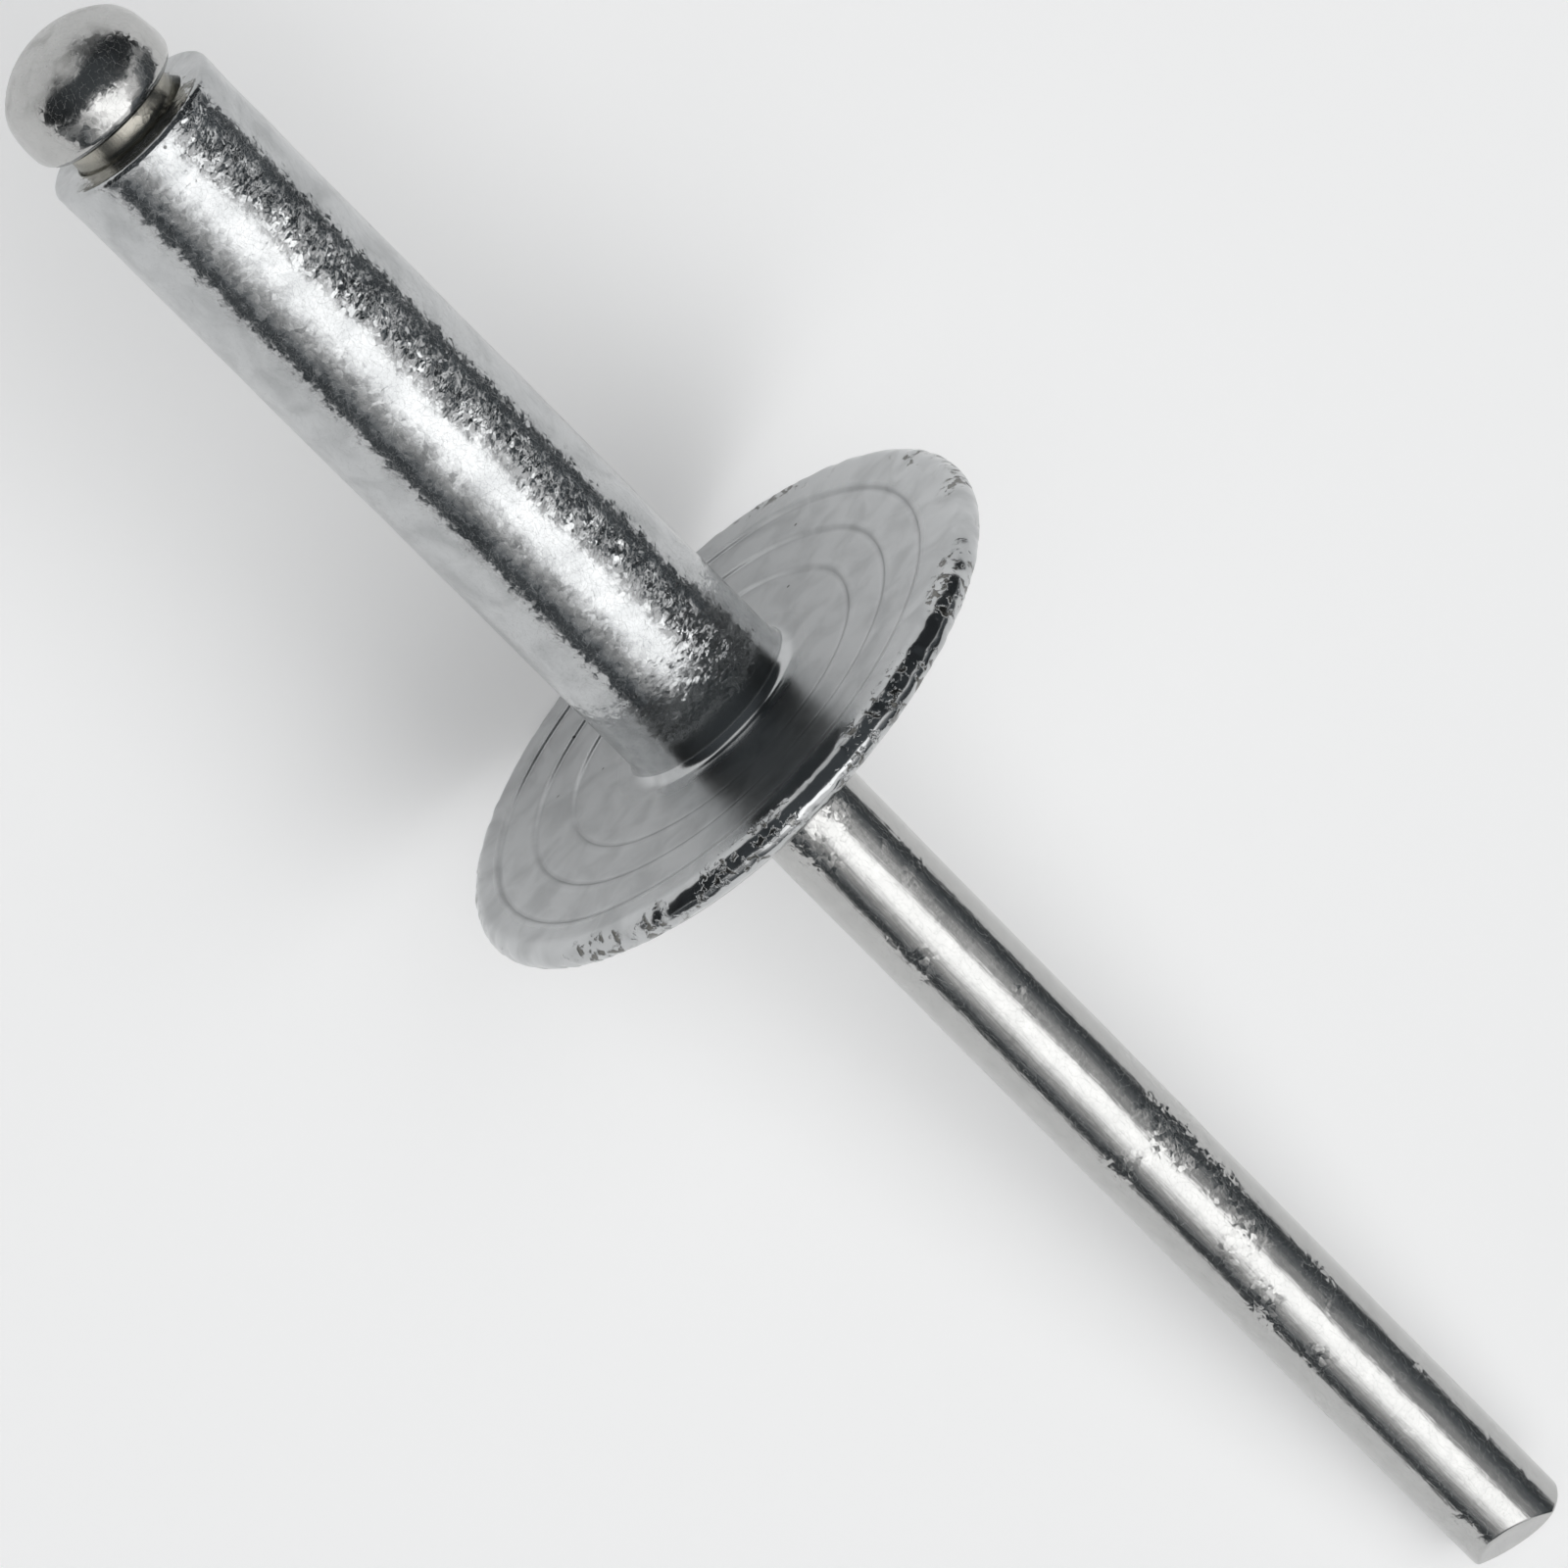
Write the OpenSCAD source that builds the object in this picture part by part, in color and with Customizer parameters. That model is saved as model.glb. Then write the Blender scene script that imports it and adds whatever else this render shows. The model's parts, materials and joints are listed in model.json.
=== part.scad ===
// Large-flange blind rivet, as supplied: an aluminium body with its steel mandrel in place.
// Each piece is drawn upright on its own axis, +Z towards the mandrel head, with the plane
// of the bearing face at z = 0. lying_at_rest() then lays the rivet on the ground, on the
// flange rim and the nipped end of the mandrel. Millimetres throughout.

/* [Body shank] */
// Outside diameter of the shank
shank_d = 4.72; // [4.6:0.01:4.9]
// Shank length, from the bearing face to the blind end
shank_l = 20.5; // [12:0.5:30]
// Diameter of the bore that the mandrel runs in
bore_d = 3.16; // [3.06:0.01:3.3]
// Radius of the rounded outer edge at the blind end
mouth_round = 0.14; // [0.05:0.01:0.3]
// Width of the break of the bore's edge at the blind end
mouth_chamfer = 0.08; // [0.02:0.01:0.2]
// Fillet between the shank and the flange face
root_fillet = 0.3; // [0.1:0.05:0.6]

/* [Body flange] */
// Outside diameter of the flange
flange_d = 16.04; // [14:0.1:18]
// Radius of the rounded flange rim, half the rim's thickness
rim_round = 0.42; // [0.3:0.01:0.6]
// Height of the whole flange, from the bearing face to the crown of its domed back
flange_h = 2.55; // [2:0.05:3.2]
// Inner radius of the bearing ring, the outermost and highest ring of the face
bearing_r = 6.8; // [6.2:0.1:7.2]
// Radius of the step inside the bearing ring
middle_step_r = 5.6; // [5:0.1:6]
// Radius of the step nearest the shank
inner_step_r = 4.4; // [3.6:0.1:4.8]
// Height of each step of the face
step_h = 0.05; // [0.02:0.01:0.1]

/* [Mandrel hold] */
// Radial clearance between the mandrel and the staked stretch of the flange's hole
hold_clearance = 0.02; // [0.01:0.005:0.05]
// Length of the staked stretch
hold_l = 1.1; // [0.6:0.1:1.6]
// Width of the break of the hole's edge on the domed back
hold_chamfer = 0.12; // [0.05:0.01:0.25]

/* [Mandrel wire] */
// Diameter of the mandrel wire
wire_d = 2.9; // [2.7:0.01:3]
// Length of the mandrel below the bearing face, to the crown of its nipped end
tail_l = 31.8; // [27:0.5:45]
// Diameter of the neck, between the head and the weakened place
neck_d = 3.02; // [2.9:0.01:3.05]

/* [Mandrel head] */
// Largest diameter of the head
head_d = 4.12; // [3.8:0.01:4.4]
// Gap between the blind end of the shank and the underside of the head
head_gap = 0.97; // [0.5:0.01:1.5]
// Height of the head, from its underside to its crown
head_h = 2; // [1.9:0.01:2.4]
// Height of the widest place above the underside
head_side_h = 0.71; // [0.6:0.01:0.8]
// Radius of the head's rounded shoulder
head_shoulder_r = 0.92; // [0.8:0.01:1]
// How far the side draws in from the widest place down to the underside
head_draw = 0.03; // [0.01:0.01:0.08]
// Radius of the edge round the underside
head_lip_round = 0.08; // [0.04:0.01:0.12]
// Fillet between the underside and the neck
neck_fillet = 0.12; // [0.05:0.01:0.2]

/* [Weakened place] */
// Diameter at the bottom of the notch where the mandrel breaks
break_d = 2.2; // [1.8:0.05:2.5]
// Distance of the notch below the blind end of the shank
break_depth = 3.2; // [2:0.1:5]
// Width of the notch at the surface
break_w = 1.1; // [0.6:0.1:1.6]
// Width of the flat at the bottom of the notch
break_land = 0.3; // [0.1:0.05:0.4]

/* [Nipped end] */
// Spherical radius that the crown of the nipped end bulges to
tip_crown_r = 2.6; // [2:0.1:4]
// Distance of each nip's flat from the axis, at the height of the tip's crown
nip_offset = 0.4; // [0.3:0.05:0.8]
// Angle between each nip's flat and the axis
nip_angle = 42; // [30:1:50]
// Turn of the nips about the axis, from facing the ground squarely
nip_turn = 28; // [0:1:45]

/* [Hidden] */
$fn = 96;
// Overshoot of each cutting shape past the surface that it cuts
over = 1;
aluminium = "#c9ccce";
steel = "#b4b6b6";

shank_r = shank_d / 2;
bore_r = bore_d / 2;
wire_r = wire_d / 2;
neck_r = neck_d / 2;
head_r = head_d / 2;
flange_r = flange_d / 2;
hold_r = wire_r + hold_clearance;

// Centre of the rim's round section, and the sphere of the back that is tangent to it
rim_r = flange_r - rim_round;
rim_z = -rim_round;
back_drop = flange_h - rim_round;
back_r = (rim_r * rim_r + back_drop * back_drop - rim_round * rim_round) / (2 * (back_drop - rim_round));
back_z = back_r - flange_h;
// Point where the back runs into the rim
meet_r = rim_r * back_r / (back_r - rim_round);
meet_z = back_z + (rim_z - back_z) * back_r / (back_r - rim_round);
// Heights of the stepped face, from the bearing ring inwards
middle_z = -step_h;
inner_z = -2 * step_h;
root_z = -3 * step_h;

// Head: its underside, the centre of its shoulder, and the crown's sphere tangent to it
head_z = shank_l + head_gap;
shoulder_r = head_r - head_shoulder_r;
shoulder_z = head_z + head_side_h;
crown_rise = head_h - head_side_h;
crown_r = (shoulder_r * shoulder_r + crown_rise * crown_rise - head_shoulder_r * head_shoulder_r)
    / (2 * (crown_rise - head_shoulder_r));
crown_z = head_z + head_h - crown_r;
crown_meet_r = shoulder_r * crown_r / (crown_r - head_shoulder_r);
crown_meet_z = crown_z + (shoulder_z - crown_z) * crown_r / (crown_r - head_shoulder_r);

break_z = shank_l - break_depth;

// The tail rests on the edge where a nip's flat leaves the wire's surface. How far that edge
// lies above the tip's crown, at an angle round the wire from the nip's middle
function nip_rise(angle) = (wire_r * cos(angle) - nip_offset) / tan(nip_angle);
// Lean of the axis when the rim and the edge at that angle from straight below both touch
function lean_on(angle) =
    let (
        reach = tail_l - nip_rise(angle + nip_turn) + rim_z,
        drop = rim_r - wire_r * cos(angle)
    )
    asin(rim_round / norm([reach, drop])) + atan2(drop, reach);
// Angle from straight below of the lowest place on that edge, at a given lean
function lowest_edge(tilt) =
    let (slope = sin(tilt) / tan(nip_angle))
    atan2(slope * sin(nip_turn), cos(tilt) - slope * cos(nip_turn));
// Each pass finds the lowest place for the lean before it, and two settle it
lean = lean_on(lowest_edge(lean_on(lowest_edge(lean_on(0)))));
// Height of the bearing face's centre above the ground, and the middle of the footprint
lie_z = rim_r * cos(lean) - rim_z * sin(lean) + rim_round;
head_x = crown_z * cos(lean) + crown_r;
tail_x = (tail_l - tip_crown_r) * cos(lean) + tip_crown_r;
lie_x = (tail_x - head_x) / 2;

module lying_at_rest() {
    translate([lie_x, 0, lie_z])
        rotate([0, 90 - lean, 0])
            children();
}

// A square corner with its round taken out: what a round edge of that radius loses
module corner_waste(r) {
    difference() {
        square(r + over);
        circle(r);
    }
}

module shank_section() {
    difference() {
        translate([0, root_z])
            square([shank_r, shank_l - root_z]);
        translate([shank_r - mouth_round, shank_l - mouth_round])
            corner_waste(mouth_round);
    }
}

module root_fillet_section() {
    translate([shank_r, root_z])
        difference() {
            square(root_fillet);
            translate([root_fillet, root_fillet])
                circle(root_fillet);
        }
}

module flange_section() {
    intersection() {
        translate([0, back_z])
            circle(back_r, $fn = 360);
        polygon([
            [0, root_z],
            [inner_step_r, root_z],
            [inner_step_r + step_h, inner_z],
            [middle_step_r, inner_z],
            [middle_step_r + step_h, middle_z],
            [bearing_r, middle_z],
            [bearing_r + step_h, 0],
            [rim_r, 0],
            [rim_r, rim_z],
            [meet_r, meet_z],
            [meet_r, -flange_h - over],
            [0, -flange_h - over]
        ]);
    }
    translate([rim_r, rim_z])
        circle(rim_round);
}

module bore_section() {
    hold_top = hold_l - flange_h;
    ease = bore_r - hold_r;
    polygon([
        [0, -flange_h - over],
        [hold_r + hold_chamfer + over, -flange_h - over],
        [hold_r, -flange_h + hold_chamfer],
        [hold_r, hold_top],
        [bore_r, hold_top + ease],
        [bore_r, shank_l - mouth_chamfer],
        [bore_r + mouth_chamfer + over, shank_l + over],
        [0, shank_l + over]
    ]);
}

module rivet_body() {
    color(aluminium)
        lying_at_rest()
            rotate_extrude()
                difference() {
                    union() {
                        shank_section();
                        root_fillet_section();
                        flange_section();
                    }
                    bore_section();
                }
}

module head_section() {
    difference() {
        union() {
            intersection() {
                translate([0, crown_z])
                    circle(crown_r);
                polygon([
                    [0, head_z],
                    [shoulder_r, head_z],
                    [shoulder_r, shoulder_z],
                    [crown_meet_r, crown_meet_z],
                    [crown_meet_r, head_z + head_h],
                    [0, head_z + head_h + over]
                ]);
            }
            intersection() {
                translate([shoulder_r, shoulder_z])
                    circle(head_shoulder_r);
                translate([shoulder_r, shoulder_z])
                    square(head_shoulder_r + over);
            }
            polygon([
                [0, head_z],
                [head_r - head_draw, head_z],
                [head_r, shoulder_z],
                [0, shoulder_z]
            ]);
        }
        translate([head_r - head_draw - head_lip_round, head_z + head_lip_round])
            mirror([0, 1])
                corner_waste(head_lip_round);
    }
}

module neck_fillet_section() {
    translate([neck_r, head_z])
        mirror([0, 1])
            difference() {
                square(neck_fillet);
                translate([neck_fillet, neck_fillet])
                    circle(neck_fillet);
            }
}

// The wire, from its bulged tip up into the head, with the notch where it breaks
module wire_section() {
    break_r = break_d / 2;
    intersection() {
        polygon([
            [0, -tail_l - over],
            [wire_r, -tail_l - over],
            [wire_r, break_z - break_w / 2],
            [break_r, break_z - break_land / 2],
            [break_r, break_z + break_land / 2],
            [neck_r, break_z + break_w / 2],
            [neck_r, head_z + head_side_h],
            [0, head_z + head_side_h]
        ]);
        union() {
            translate([0, tip_crown_r - tail_l])
                circle(tip_crown_r);
            translate([0, tip_crown_r - tail_l])
                square([tip_crown_r, tail_l + head_z]);
        }
    }
}

// What the jaw on the side of that angle takes off the end of the wire
module nip_waste(side) {
    rotate([0, 0, side - nip_turn])
        translate([nip_offset, 0, -tail_l])
            rotate([0, nip_angle, 0])
                translate([0, -wire_d, -wire_d])
                    cube([wire_d * 2, wire_d * 2, wire_d * 3]);
}

module mandrel() {
    color(steel)
        lying_at_rest()
            difference() {
                rotate_extrude() {
                    head_section();
                    neck_fillet_section();
                    wire_section();
                }
                nip_waste(0);
                nip_waste(180);
            }
}

rivet_body();
mandrel();
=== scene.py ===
import json
import math

import bpy
import numpy as np
from mathutils import Matrix, Vector


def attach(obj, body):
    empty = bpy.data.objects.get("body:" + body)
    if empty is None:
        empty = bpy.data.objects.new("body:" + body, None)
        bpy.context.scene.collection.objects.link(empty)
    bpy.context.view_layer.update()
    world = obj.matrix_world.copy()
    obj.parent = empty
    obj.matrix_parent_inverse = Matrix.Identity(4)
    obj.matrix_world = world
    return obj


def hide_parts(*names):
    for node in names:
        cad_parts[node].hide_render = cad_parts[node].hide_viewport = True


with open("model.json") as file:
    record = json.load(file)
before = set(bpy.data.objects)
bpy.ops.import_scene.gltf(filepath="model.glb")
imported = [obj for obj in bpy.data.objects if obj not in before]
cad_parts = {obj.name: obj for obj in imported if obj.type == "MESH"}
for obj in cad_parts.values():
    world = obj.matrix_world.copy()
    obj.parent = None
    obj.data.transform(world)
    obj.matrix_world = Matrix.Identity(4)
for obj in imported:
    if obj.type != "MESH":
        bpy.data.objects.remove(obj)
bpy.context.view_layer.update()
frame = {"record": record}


# Rivet body: one cold-headed piece of aluminium, a tube with a wide domed flange. Its wall is
# finely wrinkled where it was drawn, the flange's face is satin with shallow struck rings, and
# the rim is knocked and dirty. The mandrel comes up through it.
MM = 0.001
seat = next(m for m in frame["record"]["mounts"] if m["name"] == "seat")
axis = np.array(seat["axis"])
face_centre = np.array([seat["pos_m"][0], 0, seat["pos_m"][2]])
down = np.array([axis[2], 0, -axis[0]])
side = np.array([0.0, 1.0, 0.0])
lean = math.atan2(axis[2], axis[0])
# The flange was struck a little out of centre and out of square, towards one side, given as
# shares of down and side
struck_towards = np.array([-0.156, -0.988])
struck_offset = 0.25
struck_lean = 0.021
# The body's radii, and heights from the face's centre along the axis, as in the solid
shank_radius = 2.36
shank_top = 20.5
bore_radius = 1.58
hold_radius = 1.47
hold_top = -1.45
mouth_round = 0.14
mouth_chamfer = 0.08
root_fillet = 0.3
root_height = -0.15
inner_height = -0.1
middle_height = -0.05
inner_ring = 4.4
middle_ring = 5.6
bearing_ring = 6.8
rim_middle = 7.6
rim_round = 0.42
back_radius = 18.164
back_middle = 15.614
# How wavy the struck rings are, how deep the knocks in the rim go, and how far the mouth flares
ring_waver = 0.035
knock_depth = 0.022
mouth_flare = 0.022
# How far to one side the staked hole holds the mandrel
hold_bow = 0.08


def smooth(low, high, x):
    """0 below low, 1 above high, and between them three squares less two cubes of the share."""
    t = np.clip((x - low) / (high - low), 0, 1)
    return t * t * (3 - 2 * t)


def straight(start, end, count):
    """Points from start up to, but without, end, evenly spaced."""
    t = np.arange(count)[:, None] / count
    return np.array(start) * (1 - t) + np.array(end) * t


def arc(centre, radius, from_deg, to_deg, count):
    """Points round a centre, from one angle up to, but without, the other."""
    a = np.radians(from_deg + (to_deg - from_deg) * np.arange(count) / count)
    return np.stack([centre[0] + radius * np.cos(a), centre[1] + radius * np.sin(a)], 1)


def ripple(turn, height, reach, seed, turns, climbs, count=24):
    """Waves added up, each the cosine of a whole number of turns plus a climb along the height
    and a phase of its own. The sum stays mostly within the reach."""
    draw = np.random.default_rng(seed)
    total = np.zeros(np.broadcast(turn, height).shape)
    for _ in range(count):
        around = draw.integers(turns[0], turns[1] + 1)
        along = draw.uniform(climbs[0], climbs[1]) * draw.choice([-1, 1])
        total += np.cos(around * turn + along * height + draw.uniform(0, 2 * math.pi))
    return total * reach / math.sqrt(count)


def turned(across, height, turn):
    """The points of a turned surface, laid as the solid lies. Each is the face's centre, plus
    its height along the axis, plus its distance across in the direction of its turn."""
    return (
        face_centre
        + MM * height[..., None] * axis
        + MM * (across * np.cos(turn))[..., None] * down
        + MM * (across * np.sin(turn))[..., None] * side
    ).reshape(-1, 3)


def quads(rows, columns, closed):
    """The faces of a grid whose columns close round, and whose rows close too if closed."""
    row = np.arange(rows if closed else rows - 1)[:, None]
    column = np.arange(columns)[None, :]
    after, beside = (row + 1) % rows, (column + 1) % columns
    corners = [row * columns + column, after * columns + column,
               after * columns + beside, row * columns + beside]
    return np.stack(corners, -1).reshape(-1, 4).tolist()


def skin(name, points, faces):
    """A smooth mesh object at the origin, made of points and faces."""
    mesh = bpy.data.meshes.new(name)
    mesh.from_pydata(points.tolist(), [], faces)
    mesh.polygons.foreach_set("use_smooth", [True] * len(mesh.polygons))
    mesh.update()
    piece = bpy.data.objects.new(name, mesh)
    bpy.context.scene.collection.objects.link(piece)
    return piece


# Where a ring's step starts inside its radius and ends outside it, and how far the punch pressed
# a groove in front of it and a lip on top of it
ring_in = 0.11
ring_out = 0.22
ring_groove = 0.018
ring_lip = 0.014


def ring_step(radius, low, high):
    """The profile up one ring's step: down into the groove, up to the top, over the lip."""
    return np.concatenate([
        straight((radius - ring_in, low), (radius - 0.02, low - ring_groove), 1),
        straight((radius - 0.02, low - ring_groove), (radius + 0.06, high), 3),
        straight((radius + 0.06, high), (radius + 0.12, high + ring_lip), 1),
        straight((radius + 0.12, high + ring_lip), (radius + ring_out, high), 1),
    ])


# Once round the body's section: the mouth, the wall, the face, the rim, the back, and the bore
mouth_low = shank_top - mouth_chamfer
bore_low = hold_top + bore_radius - hold_radius
outline = np.concatenate([
    straight((bore_radius, mouth_low), (bore_radius + mouth_chamfer, shank_top), 2),
    straight((bore_radius + mouth_chamfer, shank_top), (shank_radius - mouth_round, shank_top), 6),
    arc((shank_radius - mouth_round, shank_top - mouth_round), mouth_round, 90, 0, 6),
    straight((shank_radius, shank_top - mouth_round), (shank_radius, root_height + root_fillet), 84),
    arc((shank_radius + root_fillet, root_height + root_fillet), root_fillet, 180, 270, 8),
    straight((shank_radius + root_fillet, root_height), (inner_ring - ring_in, root_height), 12),
    ring_step(inner_ring, root_height, inner_height),
    straight((inner_ring + ring_out, inner_height), (middle_ring - ring_in, inner_height), 8),
    ring_step(middle_ring, inner_height, middle_height),
    straight((middle_ring + ring_out, middle_height), (bearing_ring - ring_in, middle_height), 8),
    ring_step(bearing_ring, middle_height, 0),
    straight((bearing_ring + ring_out, 0), (rim_middle, 0), 6),
    arc((rim_middle, -rim_round), rim_round, 90, -64.65, 18),
    arc((0, back_middle), back_radius, -64.64, -85.19, 26),
    straight((1.525, -2.486), (hold_radius, -2.43), 2),
    straight((hold_radius, -2.43), (hold_radius, hold_top), 3),
    straight((hold_radius, hold_top), (bore_radius, bore_low), 2),
    straight((bore_radius, bore_low), (bore_radius, mouth_low), 9),
])
body_columns = 384
turn = np.arange(body_columns)[None, :] * 2 * math.pi / body_columns
across = outline[:, :1] + 0 * turn
height = outline[:, 1:] + 0 * turn
wall = (across > 2.2) * smooth(0.2, 1.0, height)
across = across + wall * ripple(turn, height, 0.004, 3, (1, 5), (0.4, 3.2))
across = across + wall * mouth_flare * smooth(19.5, 20.3, height)
on_flange = smooth(2.6, 7.2, across) * (height < 0.5)
on_face = smooth(2.9, 3.6, across) * (1 - smooth(7.2, 7.5, across)) * (height > -0.3)
rim = smooth(7.35, 7.9, across) * (height > -1.0)
# The flange leans as it was struck, its rim lies out of centre, and its edge is knocked in
towards = np.cos(turn) * struck_towards[0] + np.sin(turn) * struck_towards[1]
height = height + on_flange * across * towards * struck_lean
height = height + on_face * ripple(turn, across, 0.007, 8, (2, 7), (0.6, 2.5))
past_rings = smooth(6.9, 7.5, across) * (height < 0.5)
across = across + past_rings * struck_offset * -np.sin(turn)
across = across + on_face * ripple(turn, 0 * across, ring_waver, 9, (2, 9), (0, 1))
across = across + (outline[:, :1] < 1.6) * (height < -1.3) * hold_bow * np.sin(turn)
knocks = np.maximum(ripple(turn, height, knock_depth, 11, (20, 110), (2, 9), 40), 0)
across = across - rim * knocks
height = height + rim * ripple(turn, across, 0.01, 13, (12, 70), (2, 8))
body = skin("turned_body", turned(across, height, turn), quads(len(outline), body_columns, True))
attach(body, "root")
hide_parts("rivet_body")


class Wire:
    """An output socket in a node tree. Arithmetic on it adds the Math nodes for the same sum."""

    def __init__(self, tree, socket):
        self.tree, self.socket = tree, socket

    def math(self, operation, *values):
        return node(self.tree, "ShaderNodeMath", {"operation": operation}, dict(enumerate(values)))

    def __add__(self, other):
        return self.math("ADD", self, other)

    def __sub__(self, other):
        return self.math("SUBTRACT", self, other)

    def __rsub__(self, other):
        return self.math("SUBTRACT", other, self)

    def __mul__(self, other):
        return self.math("MULTIPLY", self, other)

    def __truediv__(self, other):
        return self.math("DIVIDE", self, other)

    def __pow__(self, other):
        return self.math("POWER", self, other)

    __radd__ = __add__
    __rmul__ = __mul__


def node(tree, kind, settings=None, inputs=None, output=0):
    """Adds a node: its settings first, where stops are a colour ramp's, then its sockets."""
    made = tree.nodes.new(kind)
    for key, value in (settings or {}).items():
        if key == "stops":
            elements = made.color_ramp.elements
            while len(elements) < len(value):
                elements.new(0.5)
            for element, (position, colour) in zip(elements, value):
                element.position, element.color = position, colour
        else:
            setattr(made, key, value)
    for key, value in (inputs or {}).items():
        if isinstance(value, Wire):
            tree.links.new(value.socket, made.inputs[key])
        else:
            made.inputs[key].default_value = value
    return Wire(tree, made.outputs[output])


def rise(value, low, high):
    """The S-shaped rise of a wire from 0 at low to 1 at high, where low may be the larger."""
    return node(value.tree, "ShaderNodeMapRange", {"interpolation_type": "SMOOTHSTEP"},
                {"Value": value, "From Min": low, "From Max": high})


def blend(first, second, share):
    """A mix of two colours, each a wire or three numbers, by a share that is a wire."""
    ends = [c if isinstance(c, Wire) else (*c, 1) for c in (first, second)]
    return node(share.tree, "ShaderNodeMix", {"data_type": "RGBA"},
                {0: share, 6: ends[0], 7: ends[1]}, 2)


def noise(place, scale, detail=2.0, distortion=0.0):
    """Smooth noise from 0 to 1, with so many waves to the millimetre."""
    return node(place.tree, "ShaderNodeTexNoise", None,
                {"Vector": place, "Scale": scale, "Detail": detail, "Distortion": distortion})


def cells(place, scale):
    """The distance to the nearest of many scattered points, so many to the millimetre."""
    return node(place.tree, "ShaderNodeTexVoronoi", {"feature": "F1"},
                {"Vector": place, "Scale": scale})


def stretched(place, amounts):
    """A place whose three parts are multiplied by three amounts."""
    return node(place.tree, "ShaderNodeMapping", None, {"Vector": place, "Scale": amounts})


def bent(place, scale, reach):
    """A place plus coloured noise times the reach, which shears what is drawn on it."""
    drift = node(place.tree, "ShaderNodeTexNoise", None, {"Vector": place, "Scale": scale}, "Color")
    return node(place.tree, "ShaderNodeVectorMath", {"operation": "MULTIPLY_ADD"},
                {0: drift, 1: (reach, reach, reach), 2: place})


def facets(place, scale):
    """Flat facets, so many to the millimetre, each tilted its own way, and less so along z. The
    height is the dot product of a tilt, the cell's colour less a half times three shares, with
    the way from the cell's point."""
    tree = place.tree
    colour = node(tree, "ShaderNodeTexVoronoi", {"feature": "F1"},
                  {"Vector": place, "Scale": scale}, "Color")
    middle = Wire(tree, colour.socket.node.outputs["Position"])
    way = node(tree, "ShaderNodeVectorMath", {"operation": "SUBTRACT"}, {0: place, 1: middle})
    tilt = node(tree, "ShaderNodeVectorMath", {"operation": "MULTIPLY_ADD"},
                {0: colour, 1: (1, 1, 0.4), 2: (-0.5, -0.5, -0.2)})
    return node(tree, "ShaderNodeVectorMath", {"operation": "DOT_PRODUCT"}, {0: tilt, 1: way}, "Value")


def bump(height, reach_mm, under=None):
    """Bumps that stand reach_mm millimetres high where the height is 1, on those under them."""
    inputs = {"Height": height, "Distance": reach_mm * MM}
    if under is not None:
        inputs["Normal"] = under
    return node(height.tree, "ShaderNodeBump", None, inputs)


def start_finish(name, piece):
    """A new material on a piece: its tree, the place in millimetres from the face's centre, with
    z along the rivet's axis, then y to the side, z, and the distance from the axis."""
    material = bpy.data.materials.new(name)
    material.use_nodes = True
    tree = material.node_tree
    tree.nodes.clear()
    piece.data.materials.append(material)
    here = node(tree, "ShaderNodeTexCoord", None, None, "Object")
    place = node(tree, "ShaderNodeMapping", {"vector_type": "TEXTURE"},
                 {"Vector": here, "Location": face_centre.tolist(),
                  "Rotation": (0, math.pi / 2 - lean, 0), "Scale": (MM, MM, MM)})
    apart = tree.nodes.new("ShaderNodeSeparateXYZ")
    tree.links.new(place.socket, apart.inputs[0])
    x, y, z = (Wire(tree, s) for s in apart.outputs)
    return tree, place, y, z, (x * x + y * y) ** 0.5


def end_finish(tree, colour, roughness, normal):
    """Bare metal of a colour, roughness and bumps, joined to the material's output."""
    metal = node(tree, "ShaderNodeBsdfPrincipled", None,
                 {"Base Color": colour, "Metallic": 1.0, "Roughness": roughness, "Normal": normal})
    tree.links.new(metal.socket, tree.nodes.new("ShaderNodeOutputMaterial").inputs[0])


tree, place, y, z, radius = start_finish("wrinkled_aluminium", body)
on_wall = (1 - rise(radius, 2.45, 2.9)) * rise(z, 0.35, 1.1)
on_rim = rise(radius, 7.35, 7.75)
patches = rise(noise(place, 0.35), 0.35, 0.62)
# The wrinkles are small tilted facets of two sizes, strongest along one side of the wall
short = stretched(place, (1, 1, 1.4))
wrinkles = facets(bent(short, 2, 0.5), 3.9) + facets(bent(place, 3.5, 0.3), 7) * 0.8
wrinkles = wrinkles * on_wall * (0.2 + 0.8 * rise(y + 0.3 * patches, 0.2, -0.45))
wrinkles = wrinkles * (1 - 0.75 * rise(y, -0.85, -1.3))
smudges = noise(place, 0.9, 4, 0.6)
on_tube = rise(radius, 3.4, 2.6)
grain = noise(place, 22)
clusters = rise(noise(place, 0.45, 2, 0.5), 0.48, 0.58)
pits = rise(noise(place, 4.2, 4, 0.4), 0.52, 0.62) * on_rim * clusters
specks = rise(cells(place, 0.9), 0.055, 0.03) * rise(noise(place, 0.8), 0.45, 0.5)
normal = bump(smudges * (0.15 + 0.85 * on_tube), 0.008)
normal = bump(grain, 0.0008, bump(pits, -0.03, bump(wrinkles, 0.36, normal)))
colour = blend((0.43, 0.44, 0.445), (0.56, 0.57, 0.575), rise(smudges, 0.25, 0.65))
colour = blend(colour, (0.1, 0.095, 0.08), rise(pits, 0.35, 0.9) * 0.8)
colour = blend(colour, (0.06, 0.06, 0.055), specks * 0.8)
satin = rise(radius, 2.6, 3.1) * rise(radius, 7.3, 6.9)
roughness = 0.13 + 0.06 * smudges + 0.13 * satin + 0.1 * pits
end_finish(tree, colour, roughness, normal)


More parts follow.
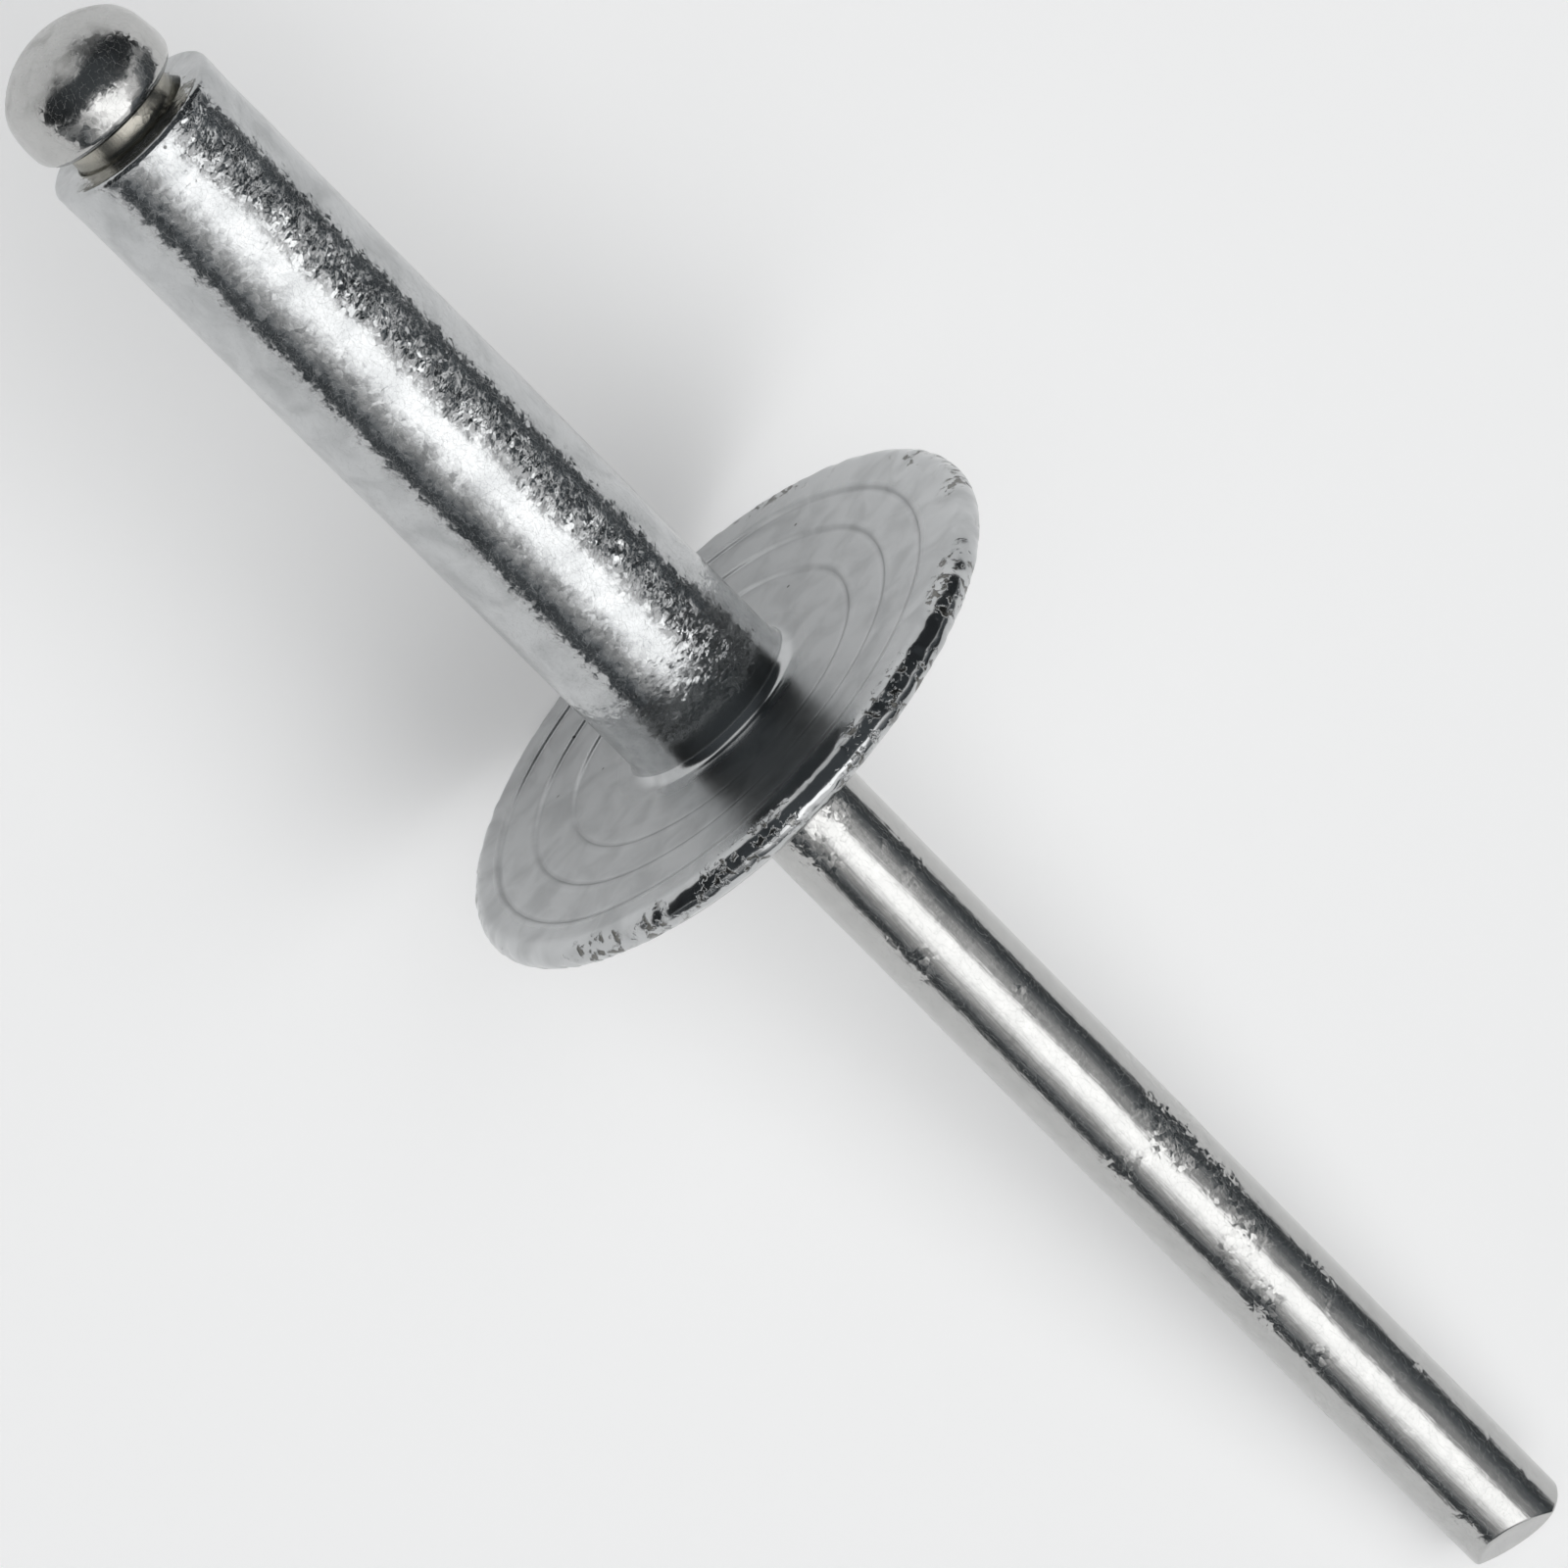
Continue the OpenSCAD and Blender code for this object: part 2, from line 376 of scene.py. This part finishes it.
# Mandrel: one piece of steel wire with a head upset on it. The wire is drawn bright, with its
# grain lengthwise, the crown of the head is dull, and two jaws nipped the tail off. It is drawn
# up through the body, and its head breaks off at the notch inside once the rivet is set.
tip_height = -31.8
wire_radius = 1.45
crown_radius = 2.6
nip_offset = 0.4
nip_slope = 1 / math.tan(math.radians(42))
nip_turn = math.radians(28)
nip_softness = 0.02
edge_bevel = 0.03
neck_radius = 1.51
notch_radius = 1.1
# The underside and the top of the head, and where the neck's fillet ends
underside = 21.126
head_top = 23.47
neck_top = 21.006
# Where the wall's even rows end, above the nips
wall_end = -28.6


def nipped_end(across, turn):
    """The height of the end's surface: the greatest of the crown's sphere and of the two flats
    that the jaws left, which the logarithm of a sum of powers runs into each other."""
    crown = tip_height + crown_radius - np.sqrt(crown_radius ** 2 - across ** 2) + 0 * turn
    flat = across * np.cos(turn + nip_turn)
    sheets = [crown] + [tip_height + (s * flat - nip_offset) * nip_slope for s in (1, -1)]
    top = np.maximum.reduce(sheets)
    return top + nip_softness * np.log(sum(np.exp((s - top) / nip_softness) for s in sheets))


# Down the mandrel's side: the head's crown, shoulder, side and lip, then the neck, the notch
# where the wire breaks, and the wire
stem = np.concatenate([
    arc((0, 20.9525), 2.5175, 88.5, 46.43, 20),
    arc((1.101, 22.11), 0.92, 46.43, 10, 14),
    arc((-1.44, 21.662), 3.5, 10, -4, 10),
    arc((1.6525, 21.446), 0.4, -4, -50, 8),
    arc((1.871, 21.186), 0.06, -50, -90, 3),
    straight((1.871, underside), (1.63, underside), 4),
    arc((1.63, neck_top), 0.12, 90, 180, 4),
    straight((neck_radius, neck_top), (neck_radius, 17.85), 22),
    straight((neck_radius, 17.85), (notch_radius, 17.45), 2),
    straight((notch_radius, 17.45), (notch_radius, 17.15), 2),
    straight((notch_radius, 17.15), (wire_radius, 16.75), 2),
    straight((wire_radius, 16.75), (wire_radius, -2.2), 8),
    straight((wire_radius, -2.2), (wire_radius, wall_end), 110),
])
mandrel_columns = 256
turn = np.arange(mandrel_columns)[None, :] * 2 * math.pi / mandrel_columns
# The wall's last rows run down to the end's own edge, and the end closes in rows to its middle
last_rows = 1 - (1 - np.linspace(0, 1, 15)[:, None]) ** 1.6
edge = nipped_end(np.array([[wire_radius]]), turn) + edge_bevel
end_across = (wire_radius - edge_bevel) * np.linspace(1, 0.04, 24)[:, None] + 0 * turn
across = np.concatenate([stem[:, :1] + 0 * turn, wire_radius + 0 * last_rows * turn, end_across])
height = np.concatenate([stem[:, 1:] + 0 * turn, wall_end * (1 - last_rows) + edge * last_rows,
                         nipped_end(end_across, turn)])
tail = (1 - smooth(-3.5, -2.6, height)) * smooth(1.3, 1.45, across)
across = across + tail * ripple(turn, height, 0.003, 21, (1, 4), (0.3, 2.6))
head = smooth(21.2, 21.6, height)
across = across * (1 + head * ripple(turn, height, 0.006, 23, (2, 9), (0.5, 4)))


def bow(height):
    """How far the wire lies to the side. Below the hold it is what it is there, plus a share of
    the length and less a share of its square. Above the hold it eases off with the length."""
    below, above = np.clip(-2 - height, 0, None), np.clip(height + 2, 0, None)
    return hold_bow + 0.0072 * below - 0.00009 * below ** 2 - 0.00065 * above


rows = len(across)
points = turned(across, height, turn) + MM * bow(height).reshape(-1, 1) * side
poles = [face_centre + MM * (h * axis + bow(h) * side) for h in (head_top, tip_height)]
faces = quads(rows, mandrel_columns, closed=False)
crown_pole, tip_pole = rows * mandrel_columns, rows * mandrel_columns + 1
last = (rows - 1) * mandrel_columns
column = np.arange(mandrel_columns)
beside = (column + 1) % mandrel_columns
crown_cap = np.stack([crown_pole + 0 * column, column, beside], 1)
tip_cap = np.stack([tip_pole + 0 * column, last + beside, last + column], 1)
caps = np.stack([crown_cap, tip_cap], 1).reshape(-1, 3).tolist()
mandrel = skin("drawn_mandrel", np.concatenate([points, poles]), faces + caps)
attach(mandrel, "root")
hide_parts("mandrel")

tree, place, _, z, radius = start_finish("drawn_steel", mandrel)
on_head = rise(z, 21.1, 21.2)
on_neck = rise(z, 17, 18) * (1 - on_head)
crown = rise(z + 0.25 * radius, 23.05, 23.3)
drawn = noise(stretched(place, (1, 1, 0.12)), 9, 3)
flecks = rise(noise(place, 0.5), 0.52, 0.66)
wrinkles = facets(bent(place, 3, 0.3), 6) * ((flecks + 0.12) * (1 - on_head) + 0.5 * on_head)
dull = noise(place, 14, 3)
normal = bump(dull * (0.3 + crown), 0.002, bump(wrinkles, 0.2, bump(drawn * (1 - on_head), 0.005)))
colour = blend((0.46, 0.46, 0.455), (0.56, 0.56, 0.55), noise(place, 2.0, 3))
colour = blend(colour, (0.36, 0.36, 0.35), crown * rise(noise(place, 1.8, 5, 0.5), 0.46, 0.72) * 0.8)
colour = blend(colour, (0.42, 0.4, 0.34), on_neck * 0.8)
roughness = 0.13 + 0.06 * drawn + 0.12 * crown + 0.1 * on_neck
end_finish(tree, colour, roughness, normal)


# Floor: a plain white sheet that the rivet lies on. It glows a little, for the eye and in
# reflections alike, which brings it near to white, and it takes the rivet's shadow.
floor_half = 1.5
floor_glow = 0.24
floor_white = 0.9
corners = floor_half * np.array([[-1, -1, 0], [1, -1, 0], [1, 1, 0], [-1, 1, 0]])
floor = skin("floor", corners, [(0, 1, 2, 3)])
sheet = bpy.data.materials.new("white_sheet")
sheet.use_nodes = True
tree = sheet.node_tree
tree.nodes.clear()
rays = tree.nodes.new("ShaderNodeLightPath")
seen = Wire(tree, rays.outputs["Is Camera Ray"])
for ray in ("Is Glossy Ray", "Is Transmission Ray"):
    seen = seen.math("MAXIMUM", seen, Wire(tree, rays.outputs[ray]))
matt = node(tree, "ShaderNodeBsdfDiffuse", None, {"Color": (floor_white, floor_white, floor_white, 1)})
glow = node(tree, "ShaderNodeEmission", None, {"Strength": seen * floor_glow})
both = node(tree, "ShaderNodeAddShader", None, {0: matt, 1: glow})
tree.links.new(both.socket, tree.nodes.new("ShaderNodeOutputMaterial").inputs[0])
floor.data.materials.append(sheet)


# Light: a soft tent that runs along the rivet, and a wide lamp. The tent is brightest in a strip
# overhead, falls off to both sides, is dark past the strip's end, where the head's dark crescent
# sees it, and is pale low down, where the floor ends.
world = bpy.data.worlds.new("tent")
bpy.context.scene.world = world
world.use_nodes = True
tree = world.node_tree
tree.nodes.clear()
apart = tree.nodes.new("ShaderNodeSeparateXYZ")
tree.links.new(node(tree, "ShaderNodeTexCoord").socket, apart.inputs[0])
x, y, z = (Wire(tree, s) for s in apart.outputs)
# How bright the tent is, at degrees from straight up towards the far side
levels = [(-90, 0.06), (-64, 0.06), (-57, 0.24), (-45, 0.42), (-37, 0.66), (-29, 1.15), (-21, 1.55),
          (-15, 1.95), (9, 1.98), (13, 1.8), (19, 1.15), (26, 0.8), (35, 0.95), (43, 0.7),
          (51, 0.4), (59, 0.2), (67, 0.08), (90, 0.06)]
brightest = 2.0
dark_share = 0.04
far_level = 0.75
skyline_level = 0.85
# Where the strip's middle lies across the tent, how much wider the head sees it, and how far the
# tail's side of the tent is shifted and dimmed
strip_middle = 0.483
head_spread = 0.45
tail_shift = 0.044
tail_dimming = 0.6
# Where a direction lies across the tent, and its share along the rivet's axis, which parts what
# the tail reflects from what the shank and the head do, so that each has light fitted to it
sideways = (y * -1).math("ARCTAN2", y * -1, z) / math.pi + 0.5
along = x * axis[0] + z * axis[2]
tailward = rise(along, -0.37, -0.43)
headward = rise(along, -0.26, -0.18)
sideways = sideways - (sideways - strip_middle) * head_spread * headward
sideways = sideways + tail_shift * tailward * rise(sideways, 0.5, 0.3)
dimmed = tailward * rise(sideways, 0.59, 0.63) * rise(sideways, 0.86, 0.8)
tent = node(tree, "ShaderNodeValToRGB",
            {"stops": [((a + 90) / 180, (v / brightest, v / brightest, v / brightest, 1))
                       for a, v in levels]},
            {0: sideways})
# The strip's lit length, the pale end far past the head, and the pale band over the floor
lit_end = rise(along, -0.12, -0.21) * (0.5 + 0.5 * rise(along, -0.58, -0.5))
pale_end = rise(along, 0.95, 0.99)
skyline = 0.006 + 0.12 * rise(y, -0.1, 0.1) * (1 - 0.8 * tailward)
low = rise(z - skyline, 0.005, -0.005)
level = node(tree, "ShaderNodeSeparateColor", None, {0: tent}) * brightest
level = level * (1 - tail_dimming * dimmed) * (dark_share + (1 - dark_share) * lit_end)
level = level * (1 - pale_end) + far_level * pale_end
level = level * (1 - low) + skyline_level * low
tint = blend((0.9, 1, 1.08), (1, 1, 1), rise(level, 0.05, 0.4))
back = node(tree, "ShaderNodeBackground", None, {"Color": tint, "Strength": level})
tree.links.new(back.socket, tree.nodes.new("ShaderNodeOutputWorld").inputs[0])
# A wide lamp overhead lights the floor, and reflections don't show it
lamp_power = 4.1
lamp_size = 1.2
lamp_place = (-0.2, 0, 0.8)
lamp_data = bpy.data.lights.new("wide_lamp", "AREA")
lamp_data.energy = lamp_power
lamp_data.size = lamp_size
lamp = bpy.data.objects.new("wide_lamp", lamp_data)
lamp.location = lamp_place
lamp.visible_glossy = False
bpy.context.scene.collection.objects.link(lamp)


# Camera: nearly straight over the rivet, tilted so that it looks from beyond the head, and
# turned so that the rivet runs from the upper left corner to the lower right one.
aim_height = -2.93
aim_aside = -0.07
distance = 232
beside_overhead = math.radians(-9)
beyond_head = math.radians(22.75)
facing = -math.cos(beside_overhead) * down - math.sin(beside_overhead) * side
across_view = np.cross(axis, facing)
look = math.cos(beyond_head) * facing + math.sin(beyond_head) * axis
along_view = math.cos(beyond_head) * axis - math.sin(beyond_head) * facing
right = (across_view - along_view) / math.sqrt(2)
upward = (across_view + along_view) / math.sqrt(2)
stand = face_centre + MM * (aim_height * axis + aim_aside * across_view + distance * look)
camera_data = bpy.data.cameras.new("camera")
camera_data.lens = 220.5
camera_data.sensor_width = 36
camera_data.clip_start = 0.01
camera = bpy.data.objects.new("camera", camera_data)
bpy.context.scene.collection.objects.link(camera)
place_camera = Matrix((Vector(right), Vector(upward), Vector(look))).transposed().to_4x4()
place_camera.translation = Vector(stand)
camera.matrix_world = place_camera
bpy.context.scene.camera = camera
bpy.context.scene.view_settings.view_transform = "Standard"
